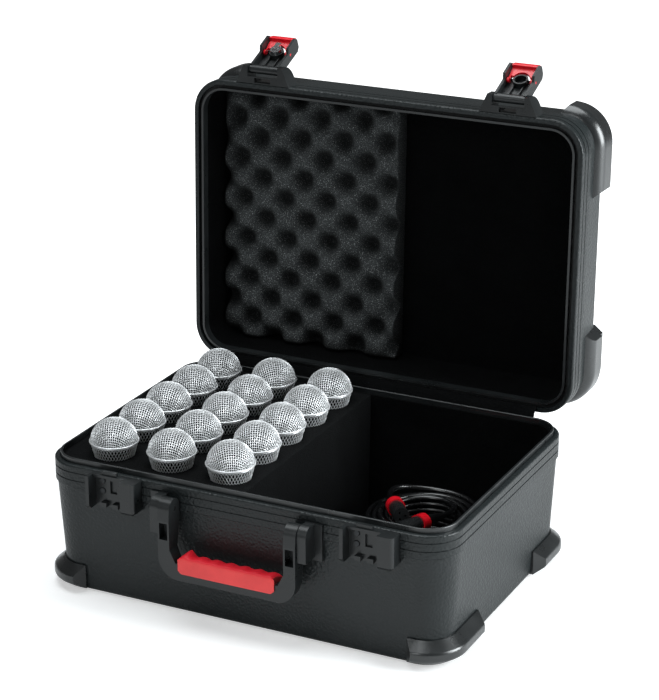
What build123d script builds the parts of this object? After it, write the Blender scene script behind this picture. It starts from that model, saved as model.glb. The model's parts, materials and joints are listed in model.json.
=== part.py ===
"""Microphone case: a moulded shell, hinged and latched lid, folding handle, foam for microphones and a cable.

Millimetres and degrees. The origin is on the shell's underside in the middle of the case, +X to the right,
+Y to the back, +Z up. The lid and its latches are drawn shut and then turned open about their hinges.
"""
import math
import os

from build123d import *

os.makedirs("parts", exist_ok=True)

# ---------------------------------------------------------------- driving dimensions

# Shells
case_width = 470.0  # across the rim band
case_depth = 330.0  # front to back, across the rim band
base_height = 148.5  # underside to the top of the base's rim band
lid_depth = 78.0  # parting line to the lid's outer face
parting_gap = 0.5  # between the two rim bands when shut
corner_radius = 38.0  # of the rim band, seen from above
wall = 3.5
wall_draft = 3.3
shell_round = 8.0  # outer rounding where walls meet floor or lid top
band_height = 26.0
band_step = 2.0  # the walls stand this far inside the band
band_bead = 2.0  # rounding of the band's mouth edge
groove_depth = 0.8
groove_width = 1.4
groove_places = (8.0, 17.0)  # from the mouth

# Valances, seal and lining
valance_thickness = 3.2
tongue_rise = 5.5
tongue_setback = 0.6  # from the band's inner face
tongue_clearance = 0.9  # inside the lid's groove
tongue_round = 0.8
seal_thickness = 2.0
seal_clearance = 1.0  # above the tongue when shut
groove_leg = 2.4
lining = 6.0
lining_drop = 0.5  # below the rim band's mouth
well_round = 2.0  # inner rounding of the linings

# Corner bumpers
bumper_proud = 6.0  # beyond the rim band
bumper_front_leg = 46.0
bumper_side_legs = (84.0, 94.0)  # at the hinges and at the latches
bumper_bevel = 10.0
base_bumper_nose = (12.0, 21.0)  # nose's edges above the underside
base_bumper_reach = (4.0, 31.0)  # where the slopes run into the wall
base_bumper_round = 4.0
lid_bumper_height = 37.0
lid_bumper_foot = 1.5  # beyond the lid's outer face
lid_bumper_round = 13.0
lid_bumper_lip = 2.0  # step of the end's lip
lid_bumper_lip_height = 7.0

# Microphones and their foam
microphone_columns = 3
microphone_rows = 5
side_margin = 1.2  # foam left of the grilles, in gaps between the columns
end_margin = 2.0  # foam before and behind the grilles, in gaps between the rows
divider_place = 0.0  # foam's side wall, from the case's middle
divider_margin = 33.5  # foam's side wall to the nearest column's centre
ball_radius = 25.5
ball_rise = 13.5  # ball centre above the base's rim band
grille_wall = 1.2
grille_band_height = 3.5
grille_band_proud = 0.6
grille_cone_height = 22.0
collar_radius = 19.7
collar_height = 7.0
handle_top_radius = 18.3
handle_end_radius = 12.0
tail_length = 21.0
handle_wall = 2.4
drop_clearance = 0.5  # foam's holes round a microphone
pad_thickness = 15.2
pad_gap = 0.3  # under a seated microphone

# Stored cable
cable_radius = 3.25
cable_banks = (40.0, 47.0, 54.0, 61.0)  # radii of the coil's banks of turns
cable_turns = 8  # in each bank
cable_layer = 6.7  # height of one turn
cable_slack = 0.3  # coil's solid outside its turns
cable_side = 112.0  # coil's middle from the foam's side wall
cable_back = 52.0  # coil's middle behind the case's middle
plug_barrel_radius = 8.5
plug_barrel_length = 34.0
plug_barrel_wall = 1.2
plug_recess = 15.0
plug_ring_radius = 10.0
plug_ring_length = 12.0
boot_radii = (7.5, 4.2)  # at the ring and at the cable
boot_length = 30.0
plug_sink = 1.0  # into the coil's soft top
plug_headings = (124.4, 78.5)  # from the barrel to the boot, socket's and pins'
plug_places = ((-23.0, -23.0), (19.0, -50.0))  # rings' middles from the coil's middle
contact_radius = 1.2
contact_circle = 4.0
contact_setback = 2.0  # pins' tips inside the barrel

# Convoluted foam in the lid
lid_foam_clearance = 3.0  # above the grilles when shut
lid_foam_edge_gap = 4.5  # to the lid's lining at the mouth
lid_foam_corner = 22.0
glue_line = 0.1  # between the foam and the lid's lining

# Hinges
hinge_inset = 85.0  # rim band's side to the hinge's middle
hinge_width = 80.0
hinge_behind = 4.9  # axis behind the rim band's back face
hinge_above = 2.0  # axis above the parting line
lid_open_angle = 92.0
leaf_thickness = 1.5
base_leaf_margin = 5.0  # leaf's edge to the band's shoulder
lid_leaf_margin = 3.0
leaf_rivet_pitch = 27.0
knuckles = 5
knuckle_radius = 3.4
knuckle_gap = 0.3
hinge_pin_radius = 1.5
running_clearance = 0.05
hinge_pin_overhang = 1.0

# Latches
latch_inset = 87.5  # rim band's side to the latch's middle
latch_opening = 37.6  # between the cheeks
lever_side_clearance = 0.6
lever_pivot_proud = 15.0  # pivot axis out from the rim band
lever_pivot_rise = 8.0  # pivot axis above the parting line
lever_barrel_radius = 5.0
lever_pin_radius = 1.6
lever_pin_overhang = 1.0
lever_overhang = 4.0  # side walls' ends below the keeper
lever_web = 2.5
lever_wall = 3.0
lever_open_angle = 155.0
lever_near_depth = 11.0  # side walls close to the pivot
lever_far_depth = 17.0  # side walls past the release's pins
lever_rib_height = 3.0
lever_rib_width = 1.2
lever_rib_place = 5.5
release_pin_place = 29.0  # from the lever's pivot
release_pin_depth = 7.5  # below the lever's outer face
release_pin_radius = 1.5
release_arm = 2.2
release_root = 35.0  # tab's inner end, from the lever's pivot
release_tip_length = 6.0  # below the hook
release_thickness = 3.0
release_tip_proud = 7.5
release_hub = 3.0
release_side_gap = 0.7
lever_web_reach = 38.0
lever_step_place = 25.0  # side walls grow deeper past here
lever_tip_slope = 4.0
lock_place = 30.5
lock_radius = 6.5
lock_boss_wall = 2.0
lock_boss_height = 6.5
lock_notch = 10.3  # release's clearance round the lock, radius
key_slot = (1.6, 6.0, 2.0)  # width, length and depth
lock_face_proud = 0.5
lock_cam_back = 4.0
lock_cam_reach = 9.5
lock_cam_width = 6.0
lock_cam_thickness = 2.0
lock_cam_proud = 5.5  # cam's inner face, out from the rim band

keeper_drop = 0.5  # below the base's mouth
keeper_height = 37.0
keeper_proud = 17.0
keeper_plate = 2.5
keeper_left_cheek = 4.0
keeper_right_cheek = 17.0
keeper_rail = (3.0, 8.0)  # height and depth of the top rail
keeper_post = (-4.0, 13.5)
keeper_post_proud = 5.0
keeper_post_foot = 9.0  # post's foot above the keeper's bottom
keeper_slot = (0.5, 8.5)
keeper_slot_height = 14.0
keeper_nub_places = (-7.0, 7.0)
keeper_nub_width = 7.0
keeper_nub_height = 5.0
keeper_nub_proud = 8.0
keeper_nub_foot = 1.0  # nubs' underside above the keeper's bottom
catch_gap = 0.5  # release's hook below the nubs
catch_proud = 4.5
catch_height = 2.5
keeper_tab = (17.5, 4.0, 3.5)  # width, depth and rise above the band
keeper_tab_proud = 2.0
keeper_round = 5.0

bracket_height = 21.0
bracket_proud = 20.0
bracket_foot = 33.0  # half width at the wall
bracket_shoulder = 24.0  # half width at the outer edge
bracket_front_plate = 3.5
bracket_front_proud = 8.0
bracket_slot = (20.0, 5.5)

# Handle
handle_latch_gap = 68.0  # latch's middle to the handle's side
handle_front = 25.0  # front face, out from the rim band
handle_drop = 75.3  # pivot to the handle's lower edge
arm_width = 13.5
arm_pocket = (9.5, 18.5, 10.0)  # width, height and depth
arm_pocket_drop = 22.5  # pocket's middle below the pivot
pivot_proud = 13.0
pivot_drop = 18.5  # below the base's mouth
pivot_boss = 11.0
bail_corner = 24.0
bail_bar_height = 19.3
bail_bar_back = 11.0
bail_edge = 1.0
handle_pin_radius = 3.0
pin_setback = 1.0  # pin's inner end inside the arm
ear_thickness = 10.0
ear_gap = 0.5
ear_proud = 22.0
ear_margin = 4.0  # below the lower screw
flange_reach = 9.0
flange_thickness = 3.0
flange_drop = 3.0  # below the ear
flange_rise = 10.0  # above the pivot
grip_end_gap = 6.0  # to the handle's arms
grip_lift = 5.3  # above the handle's lower edge
grip_height = 25.0
grip_front = 28.0
grip_back = 6.0
grip_round = 7.0

# Fasteners
rivet_radius = 2.0
rivet_head_radius = 3.6
rivet_head_height = 1.2
rivet_head_taper = 30.0
keeper_rivet_side = -10.0  # from the latch's middle
keeper_rivet_drop = 8.5  # upper one, below the base's mouth
keeper_rivet_lift = 6.0  # lower one, above the band's shoulder
bracket_rivet_side = 11.0
bracket_rivet_rise = 12.0  # above the lid's mouth
screw_radius = 2.0
screw_head_radius = 4.0
screw_head_height = 2.4
screw_bite = 12.0  # into the bracket
screw_seat_depth = 2.0  # head's face inside the lining
screw_drop = 5.5  # upper one, below the band's shoulder
screw_pitch = 10.0
overcut = 1.0  # how far a trimming shape runs past what it trims

# ---------------------------------------------------------------- derived places

front, back = -case_depth / 2, case_depth / 2
base_mouth = base_height
base_shoulder = base_mouth - band_height
base_floor = 0.0
lid_mouth = base_mouth + parting_gap
lid_shoulder = lid_mouth + band_height
lid_top = lid_mouth + lid_depth
hinge_y = back + hinge_behind
hinge_z = base_mouth + parting_gap / 2 + hinge_above
hinge_axis = Axis((0, hinge_y, hinge_z), (1, 0, 0))
shell_inset = band_step + wall  # rim band's outer face to the shell's inner face
valance_inset = shell_inset + valance_thickness
lining_inset = shell_inset + lining
tongue_top = base_mouth + tongue_rise
hinge_place = case_width / 2 - hinge_inset
hinge_stations = (-hinge_place, hinge_place)
latch_place = case_width / 2 - latch_inset
latch_stations = (-latch_place, latch_place)
lever_y = front - lever_pivot_proud
lever_z = lid_mouth + lever_pivot_rise
foam_top = base_mouth - lining_drop
well_floor = base_floor + wall + lining
ball_z = base_mouth + ball_rise
grille_foot = ball_z - grille_band_height - grille_cone_height
collar_foot = grille_foot - collar_height
pad_top = well_floor + pad_thickness
tail_foot = pad_top + pad_gap
handle_foot = tail_foot + tail_length
lid_ceiling = lid_top - wall - lining
handle_half_width = latch_place - handle_latch_gap
pivot_height = base_mouth - pivot_drop
handle_bottom = pivot_height - handle_drop
screw_heights = (base_shoulder - screw_drop - screw_pitch, base_shoulder - screw_drop)
ear_bottom = min(screw_heights) - ear_margin


# ---------------------------------------------------------------- shared shapes


def keep(part, name):
    """Label a finished piece and write it to its own file."""
    part.label = name
    export_step(part, f"parts/{name}.step")


def plan_radius(inset):
    """Corner radius of the case's outline, moved inwards."""
    return max(corner_radius - inset, 1.0)


def drafted_form(inset, mouth, shoulder, end, rounding):
    """A block that is straight from its mouth to its shoulder and drafted from there to its rounded end."""
    side = 1 if end > shoulder else -1
    with BuildPart() as form:
        with BuildSketch(Plane.XY.offset(shoulder)) as plan:
            RectangleRounded(case_width - 2 * inset, case_depth - 2 * inset, plan_radius(inset))
        extrude(plan.sketch, amount=abs(mouth - shoulder), dir=(0, 0, -side))
        extrude(plan.sketch, amount=abs(end - shoulder), dir=(0, 0, side), taper=wall_draft)
        end_edges = form.edges().group_by(Axis.Z)[-1 if side > 0 else 0]
        fillet(end_edges, rounding)
    return form.part


def ring(inner_inset, outer_inset, low, high):
    """A closed band that follows the case's outline, between two insets from the rim band's face."""
    with BuildPart() as band:
        with BuildSketch(Plane.XY.offset(low)):
            RectangleRounded(
                case_width - 2 * outer_inset, case_depth - 2 * outer_inset, plan_radius(outer_inset)
            )
            RectangleRounded(
                case_width - 2 * inner_inset,
                case_depth - 2 * inner_inset,
                plan_radius(inner_inset),
                mode=Mode.SUBTRACT,
            )
        extrude(amount=high - low)
    return band.part


def rim_band(mouth, shoulder):
    """The thickened edge of a shell as a solid block, with a rounded bead at its mouth and two grooves."""
    away = 1 if shoulder > mouth else -1
    grooves = []
    for place in groove_places:
        low = mouth + away * place - groove_width / 2
        grooves.append(ring(groove_depth, -groove_depth, low, low + groove_width))
    with BuildPart() as band:
        with BuildSketch(Plane.XY.offset(min(mouth, shoulder))):
            RectangleRounded(case_width, case_depth, corner_radius)
        extrude(amount=abs(shoulder - mouth))
        levels = band.edges().group_by(Axis.Z)
        mouth_edges, shoulder_edges = (levels[0], levels[-1]) if away > 0 else (levels[-1], levels[0])
        fillet(mouth_edges, band_bead)
        chamfer(shoulder_edges, band_step / 2)
        for groove in grooves:
            add(groove, mode=Mode.SUBTRACT)
    return band.part


def pin_along_x(x_low, x_high, y, z, radius):
    """A plain round pin, parallel to the case's front."""
    with BuildPart() as pin:
        with BuildSketch(Plane.YZ.offset(x_low)):
            with Locations((y, z)):
                Circle(radius)
        extrude(amount=x_high - x_low)
    return pin.part


def rivets(places, face, inner, side):
    """Domed rivets along Y: heads on the outer face, shanks through to the inner one."""
    with BuildPart() as group:
        for x, z in places:
            shank = Plane(origin=(x, inner, z), x_dir=(1, 0, 0), z_dir=(0, side, 0))
            with BuildSketch(shank):
                Circle(rivet_radius)
            extrude(amount=abs(face - inner))
            head = Plane(origin=(x, face, z), x_dir=(1, 0, 0), z_dir=(0, side, 0))
            with BuildSketch(head):
                Circle(rivet_head_radius)
            extrude(amount=rivet_head_height, taper=rivet_head_taper)
    return group.part


def turned_open(part):
    """A piece of the shut lid, swung to the open stop."""
    return part.rotate(hinge_axis, -lid_open_angle)


def lever_axis(station):
    return Axis((station, lever_y, lever_z), (1, 0, 0))


def lever_open(part, station):
    """A piece of a shut latch, thrown open on the open lid."""
    return turned_open(part.rotate(lever_axis(station), -lever_open_angle))


# ---------------------------------------------------------------- fasteners

keeper_rivet_places = [
    (station + keeper_rivet_side, height)
    for station in latch_stations
    for height in (base_mouth - keeper_rivet_drop, base_shoulder + keeper_rivet_lift)
]
base_latch_rivets = rivets(keeper_rivet_places, front - keeper_plate, front + valance_inset, -1)
keep(base_latch_rivets, "base_latch_rivets")

bracket_rivet_places = [
    (station + side * bracket_rivet_side, lid_mouth + bracket_rivet_rise)
    for station in latch_stations
    for side in (-1, 1)
]
lid_latch_rivets = rivets(bracket_rivet_places, front - keeper_plate, front + shell_inset, -1)
keep(turned_open(lid_latch_rivets), "lid_latch_rivets")

leaf_rivet_columns = [station + step * leaf_rivet_pitch for station in hinge_stations for step in (-1, 0, 1)]
leaf_face = back + leaf_thickness
base_plate_range = (base_shoulder + base_leaf_margin, hinge_z - knuckle_radius - knuckle_gap)
lid_plate_range = (hinge_z + knuckle_radius + knuckle_gap, lid_shoulder - lid_leaf_margin)
base_leaf_rivet_places = [(x, sum(base_plate_range) / 2) for x in leaf_rivet_columns]
base_hinge_rivets = rivets(base_leaf_rivet_places, leaf_face, back - valance_inset, 1)
keep(base_hinge_rivets, "base_hinge_rivets")
lid_leaf_rivet_places = [(x, sum(lid_plate_range) / 2) for x in leaf_rivet_columns]
lid_hinge_rivets = rivets(lid_leaf_rivet_places, leaf_face, back - shell_inset, 1)
keep(turned_open(lid_hinge_rivets), "lid_hinge_rivets")

ear_inner = handle_half_width + ear_gap
ear_middle = ear_inner + ear_thickness / 2
screw_seat = front + shell_inset + screw_seat_depth
with BuildPart() as handle_screws:
    for side in (-1, 1):
        for height in screw_heights:
            axis_plane = Plane(origin=(side * ear_middle, screw_seat, height), z_dir=(0, -1, 0))
            with BuildSketch(axis_plane):
                Circle(screw_radius)
            extrude(amount=screw_seat - front + screw_bite)
            with BuildSketch(axis_plane):
                Circle(screw_head_radius)
            extrude(amount=-screw_head_height)
keep(handle_screws.part, "handle_screws")

# ---------------------------------------------------------------- base shell, valance and lining

base_outer = drafted_form(band_step, base_mouth - band_step, base_shoulder, base_floor, shell_round)
hollow_round = shell_round - wall
base_hollow = drafted_form(shell_inset, base_mouth, base_shoulder, base_floor + wall, hollow_round)
base_band = rim_band(base_mouth, base_shoulder)

with BuildPart() as base_block:
    add(base_outer)
    add(base_band)

with BuildPart() as base_shell:
    add(base_block.part)
    add(base_hollow, mode=Mode.SUBTRACT)
    add(base_latch_rivets, mode=Mode.SUBTRACT)
    add(base_hinge_rivets, mode=Mode.SUBTRACT)
    add(handle_screws.part, mode=Mode.SUBTRACT)
keep(base_shell.part, "base_shell")

seam_depth = tongue_rise + band_bead
valance_body = ring(valance_inset, shell_inset, base_shoulder, base_mouth - seam_depth)
valance_tongue = ring(valance_inset, shell_inset + tongue_setback, base_mouth - seam_depth, tongue_top)
with BuildPart() as base_valance:
    add(valance_tongue)
    fillet(base_valance.edges().group_by(Axis.Z)[-1], tongue_round)
    add(valance_body)
    add(base_latch_rivets, mode=Mode.SUBTRACT)
    add(base_hinge_rivets, mode=Mode.SUBTRACT)
keep(base_valance.part, "base_valance")

well = drafted_form(lining_inset, foam_top, base_shoulder, well_floor, well_round)
with BuildPart() as base_lining:
    add(base_hollow)
    with BuildSketch(Plane.XY.offset(base_shoulder)):
        Rectangle(case_width, case_depth)
    extrude(amount=band_height + overcut, mode=Mode.SUBTRACT)
    add(ring(lining_inset, valance_inset, base_shoulder, foam_top))
    add(well, mode=Mode.SUBTRACT)
    add(handle_screws.part, mode=Mode.SUBTRACT)
keep(base_lining.part, "base_lining")

# ---------------------------------------------------------------- corner bumpers


def base_bumper_form():
    """A band round the base with a blunt nose that slopes back into the wall above and below."""
    nose_low, nose_high = base_bumper_nose
    foot, crest = base_bumper_reach
    setback = bumper_proud + shell_inset
    with BuildPart() as form:
        with BuildSketch(Plane.XY.offset(nose_low)) as plan:
            RectangleRounded(
                case_width + 2 * bumper_proud, case_depth + 2 * bumper_proud, corner_radius + bumper_proud
            )
        extrude(plan.sketch, amount=nose_high - nose_low)
        extrude(
            Pos(0, 0, nose_high - nose_low) * plan.sketch,
            amount=crest - nose_high,
            taper=math.degrees(math.atan2(setback, crest - nose_high)),
        )
        extrude(
            plan.sketch,
            amount=nose_low - foot,
            dir=(0, 0, -1),
            taper=math.degrees(math.atan2(setback, nose_low - foot)),
        )
        nose_edges = [edge for edge in form.edges() if nose_low - 0.1 < edge.center().Z < nose_high + 0.1]
        nose_edges = [edge for edge in nose_edges if abs(edge.center().Z - sum(base_bumper_nose) / 2) > 0.1]
        fillet(nose_edges, base_bumper_round)
    return form.part


def lid_bumper_form():
    """A band round the lid's outer end, rounded towards the mouth and lipped at the end."""
    low = lid_top + lid_bumper_foot - lid_bumper_height
    lip_low = low + lid_bumper_height - lid_bumper_lip_height
    with BuildPart() as form:
        with BuildSketch(Plane.XY.offset(low)):
            RectangleRounded(
                case_width + 2 * bumper_proud, case_depth + 2 * bumper_proud, corner_radius + bumper_proud
            )
        extrude(amount=lid_bumper_height)
        fillet(form.edges().group_by(Axis.Z)[0], lid_bumper_round)
        add(
            ring(
                -bumper_proud + lid_bumper_lip, -2 * bumper_proud, lip_low, lip_low + lid_bumper_lip_height
            ),
            mode=Mode.SUBTRACT,
        )
    return form.part


def corner_bumpers(form, block):
    """The four corner pieces of a band round a shell, trimmed to the shell's walls."""
    box = form.bounding_box()
    x_out = case_width / 2 + bumper_proud + overcut
    y_out = case_depth / 2 + bumper_proud + overcut
    x_leg = case_width / 2 - bumper_front_leg
    with BuildPart() as group:
        add(form)
        with BuildSketch(Plane.XY.offset(box.min.Z)) as corners:
            for side_x in (-1, 1):
                for side_y, side_leg in zip((1, -1), bumper_side_legs):
                    y_leg = case_depth / 2 - side_leg
                    outline = [
                        (x_leg, y_leg),
                        (x_leg, case_depth / 2 - shell_inset),
                        (x_leg + bumper_bevel, y_out),
                        (x_out, y_out),
                        (x_out, y_leg + bumper_bevel),
                        (case_width / 2 - shell_inset, y_leg),
                    ]
                    with BuildLine():
                        Polyline(*[(side_x * x, side_y * y) for x, y in outline], close=True)
                    make_face()
        extrude(corners.sketch, amount=box.size.Z, mode=Mode.INTERSECT)
        add(block, mode=Mode.SUBTRACT)
        with BuildSketch(Plane.XY.offset(box.min.Z)) as middle:
            RectangleRounded(
                case_width - 6 * shell_inset, case_depth - 6 * shell_inset, plan_radius(3 * shell_inset)
            )
        extrude(middle.sketch, amount=box.size.Z, mode=Mode.SUBTRACT)
    return group.part


keep(corner_bumpers(base_bumper_form(), base_block.part), "base_corner_bumpers")

# ---------------------------------------------------------------- microphones and their foam

grille_width = 2 * ball_radius
last_column = divider_place - divider_margin
tray_width = last_column + ball_radius + case_width / 2 - lining_inset
column_gap = (tray_width - microphone_columns * grille_width) / (microphone_columns - 1 + side_margin)
column_pitch = grille_width + column_gap
tray_depth = case_depth - 2 * lining_inset
row_gap = (tray_depth - microphone_rows * grille_width) / (microphone_rows - 1 + 2 * end_margin)
row_pitch = grille_width + row_gap
first_column = last_column - (microphone_columns - 1) * column_pitch
first_row = -row_pitch * (microphone_rows - 1) / 2
microphone_places = [
    (first_column + column * column_pitch, first_row + row * row_pitch)
    for row in range(microphone_rows)
    for column in range(microphone_columns)
]
grille_profile = [
    (collar_radius, grille_foot),
    (ball_radius, ball_z - grille_band_height),
    (ball_radius + grille_band_proud, ball_z - grille_band_height),
    (ball_radius + grille_band_proud, ball_z),
]
handle_profile = [
    (handle_end_radius, tail_foot),
    (handle_end_radius, handle_foot),
    (handle_top_radius, collar_foot),
]


def turned(points):
    """A solid of revolution about the vertical axis under the given radius and height points."""
    with BuildPart() as body:
        with BuildSketch(Plane.XZ):
            with BuildLine():
                Polyline((0, points[0][1]), *points, (0, points[-1][1]), close=True)
            make_face()
        revolve(axis=Axis.Z)
    return body.part


with BuildPart() as grille:
    add(turned(grille_profile))
    with BuildSketch(Plane.XZ):
        with BuildLine():
            CenterArc((0, ball_z), ball_radius, 0, 90)
            Line((0, ball_z + ball_radius), (0, ball_z))
            Line((0, ball_z), (ball_radius, ball_z))
        make_face()
    revolve(axis=Axis.Z)
    with BuildSketch(Plane.XZ):
        with BuildLine():
            Polyline(
                (ball_radius - grille_wall, ball_z),
                (ball_radius - grille_wall, ball_z - grille_band_height),
                (collar_radius - grille_wall, grille_foot),
                (0, grille_foot),
                (0, ball_z + ball_radius - grille_wall),
            )
            CenterArc((0, ball_z), ball_radius - grille_wall, 0, 90)
        make_face()
    revolve(axis=Axis.Z, mode=Mode.SUBTRACT)

with BuildPart() as collar:
    add(turned([(collar_radius, collar_foot), (collar_radius, grille_foot)]))
    add(
        turned([(collar_radius - handle_wall, collar_foot), (collar_radius - handle_wall, grille_foot)]),
        mode=Mode.SUBTRACT,
    )

with BuildPart() as microphone_handle:
    add(turned(handle_profile))
    bore_profile = [(radius - handle_wall, height) for radius, height in handle_profile]
    add(turned(bore_profile), mode=Mode.SUBTRACT)

for number, place in enumerate(microphone_places, start=1):
    microphone = Compound(
        children=[
            Pos(*place) * piece.part.solid() for piece in (microphone_handle, collar, grille)
        ]
    )
    keep(microphone, f"microphone_{number:02d}")

drop_profile = [
    (radius + drop_clearance, height)
    for radius, height in [
        (handle_end_radius, tail_foot),
        (handle_end_radius, handle_foot),
        (handle_top_radius, collar_foot),
        (collar_radius, collar_foot),
        (collar_radius, grille_foot),
        (ball_radius, ball_z - grille_band_height),
    ]
]
drop = turned(drop_profile)
with BuildPart() as foam_fill:
    add(well)
    with BuildSketch(Plane.XY.offset(well_floor)):
        with Locations((divider_place, 0)):
            Rectangle(case_width, case_depth, align=(Align.MIN, Align.CENTER))
    extrude(amount=base_height, mode=Mode.SUBTRACT)

with BuildPart() as microphone_foam:
    add(foam_fill.part)
    with BuildSketch(Plane.XY.offset(well_floor)):
        Rectangle(case_width, case_depth)
    extrude(amount=pad_top - well_floor, mode=Mode.SUBTRACT)
    with Locations(*[(x, y, 0) for x, y in microphone_places]):
        add(drop, mode=Mode.SUBTRACT)
keep(microphone_foam.part, "microphone_foam")

with BuildPart() as foam_pad:
    add(foam_fill.part)
    with BuildSketch(Plane.XY.offset(pad_top)):
        Rectangle(case_width, case_depth)
    extrude(amount=base_height, mode=Mode.SUBTRACT)
keep(foam_pad.part, "foam_floor_pad")

# ---------------------------------------------------------------- stored cable

coil_middle = (divider_place + cable_side, cable_back)
coil_inner = min(cable_banks) - cable_radius - cable_slack
coil_outer = max(cable_banks) + cable_radius + cable_slack
coil_top = well_floor + cable_turns * cable_layer + 2 * cable_radius
boot_foot = plug_barrel_length + plug_ring_length
plug_tilt = math.degrees(math.atan2(plug_ring_radius - boot_radii[1], boot_length + plug_ring_length / 2))
plug_planes = []
for heading, place in zip(plug_headings, plug_places):
    along = Vector(1, 0, 0).rotate(Axis.Y, plug_tilt).rotate(Axis.Z, heading)
    ring_middle = Vector(*coil_middle, coil_top + plug_ring_radius - plug_sink) + Vector(*place, 0)
    barrel_face = ring_middle - along * (plug_barrel_length + plug_ring_length / 2)
    plug_planes.append(Plane(origin=barrel_face, z_dir=along))
plug_barrel = turned([(plug_barrel_radius, 0), (plug_barrel_radius, plug_barrel_length)])
plug_ring = turned([(plug_ring_radius, plug_barrel_length), (plug_ring_radius, boot_foot)])
plug_boot = turned([(boot_radii[0], boot_foot), (boot_radii[1], boot_foot + boot_length)])
upright = (Align.CENTER, Align.CENTER, Align.MIN)

with BuildPart() as socket_barrel:
    add(plug_barrel)
    with PolarLocations(contact_circle, 3):
        Cylinder(contact_radius, plug_recess, align=upright, mode=Mode.SUBTRACT)
keep(plug_planes[0].location * socket_barrel.part, "cable_socket_plug")

with BuildPart() as pin_barrel:
    add(plug_barrel)
    Cylinder(plug_barrel_radius - plug_barrel_wall, plug_recess, align=upright, mode=Mode.SUBTRACT)
    with Locations((0, 0, contact_setback)):
        with PolarLocations(contact_circle, 3):
            Cylinder(contact_radius, plug_recess - contact_setback, align=upright)
keep(plug_planes[1].location * pin_barrel.part, "cable_pin_plug")

for piece, name in ((plug_ring, "cable_plug_rings"), (plug_boot, "cable_boots")):
    with BuildPart() as pair:
        for plane in plug_planes:
            add(plane.location * piece)
    keep(pair.part, name)

with BuildPart() as cable_coil:
    with BuildSketch(Plane.XY.offset(well_floor)):
        with Locations(coil_middle):
            Circle(coil_outer)
            Circle(coil_inner, mode=Mode.SUBTRACT)
    extrude(amount=coil_top - well_floor)
    for plane in plug_planes:
        for piece in (plug_barrel, plug_ring, plug_boot):
            add(plane.location * piece, mode=Mode.SUBTRACT)
keep(cable_coil.part, "cable_coil")

# ---------------------------------------------------------------- lid shell, valance, seal, lining and foam

lid_outer = drafted_form(band_step, lid_mouth + band_step, lid_shoulder, lid_top, shell_round)
lid_hollow = drafted_form(shell_inset, lid_mouth, lid_shoulder, lid_top - wall, hollow_round)
lid_band = rim_band(lid_mouth, lid_shoulder)

with BuildPart() as lid_block:
    add(lid_outer)
    add(lid_band)

with BuildPart() as lid_shell:
    add(lid_block.part)
    add(lid_hollow, mode=Mode.SUBTRACT)
    add(lid_latch_rivets, mode=Mode.SUBTRACT)
    add(lid_hinge_rivets, mode=Mode.SUBTRACT)
keep(turned_open(lid_shell.part), "lid_shell")
keep(turned_open(corner_bumpers(lid_bumper_form(), lid_block.part)), "lid_corner_bumpers")

leg_outer = valance_inset + tongue_clearance
leg_inner = leg_outer + groove_leg
groove_roof = tongue_top + seal_clearance + seal_thickness
with BuildPart() as lid_valance:
    add(ring(leg_inner, leg_outer, lid_mouth, groove_roof))
    add(ring(leg_inner, shell_inset, groove_roof, groove_roof + groove_leg))
keep(turned_open(lid_valance.part), "lid_valance")
lid_seal = ring(leg_outer, shell_inset, groove_roof - seal_thickness, groove_roof)
keep(turned_open(lid_seal), "lid_seal")

lid_well = drafted_form(leg_inner, lid_mouth, lid_shoulder, lid_ceiling, well_round)
with BuildPart() as lid_lining:
    add(lid_hollow)
    with BuildSketch(Plane.XY.offset(lid_mouth)):
        Rectangle(case_width, case_depth)
    extrude(amount=groove_roof + groove_leg - lid_mouth, mode=Mode.SUBTRACT)
    add(lid_well, mode=Mode.SUBTRACT)
keep(turned_open(lid_lining.part), "lid_lining")

pad_left = leg_inner + lid_foam_edge_gap - case_width / 2
pad_depth = case_depth - 2 * (leg_inner + lid_foam_edge_gap)
lid_foam_face = ball_z + ball_radius + lid_foam_clearance
with BuildPart() as lid_foam:
    with BuildSketch(Plane.XY.offset(lid_foam_face)):
        with Locations(((pad_left + divider_place) / 2, 0)):
            Rectangle(divider_place - pad_left, pad_depth)
    extrude(amount=lid_ceiling - glue_line - lid_foam_face)
    fillet(lid_foam.edges().filter_by(Axis.Z), lid_foam_corner)
keep(turned_open(lid_foam.part), "lid_convoluted_foam")

# ---------------------------------------------------------------- hinges

knuckle_pitch = hinge_width / knuckles


def hinge_leaf(own, plate_range, web_range):
    """Both hinges' leaves for one shell: a plate on the back face with every other knuckle."""
    with BuildPart() as leaf:
        for station in hinge_stations:
            with BuildSketch(Plane.YZ.offset(station - hinge_width / 2)):
                with Locations((back + leaf_thickness / 2, sum(plate_range) / 2)):
                    Rectangle(leaf_thickness, plate_range[1] - plate_range[0])
            extrude(amount=hinge_width)
            for index in own:
                low = station - hinge_width / 2 + index * knuckle_pitch + knuckle_gap / 2
                with BuildSketch(Plane.YZ.offset(low)):
                    with Locations((back + leaf_thickness / 2, sum(web_range) / 2)):
                        Rectangle(leaf_thickness, web_range[1] - web_range[0])
                    with Locations((back + (hinge_behind + leaf_thickness) / 2, hinge_z)):
                        Rectangle(hinge_behind - leaf_thickness, 2 * leaf_thickness)
                    with Locations((hinge_y, hinge_z)):
                        Circle(knuckle_radius)
                extrude(amount=knuckle_pitch - knuckle_gap)
    return leaf.part


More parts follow.
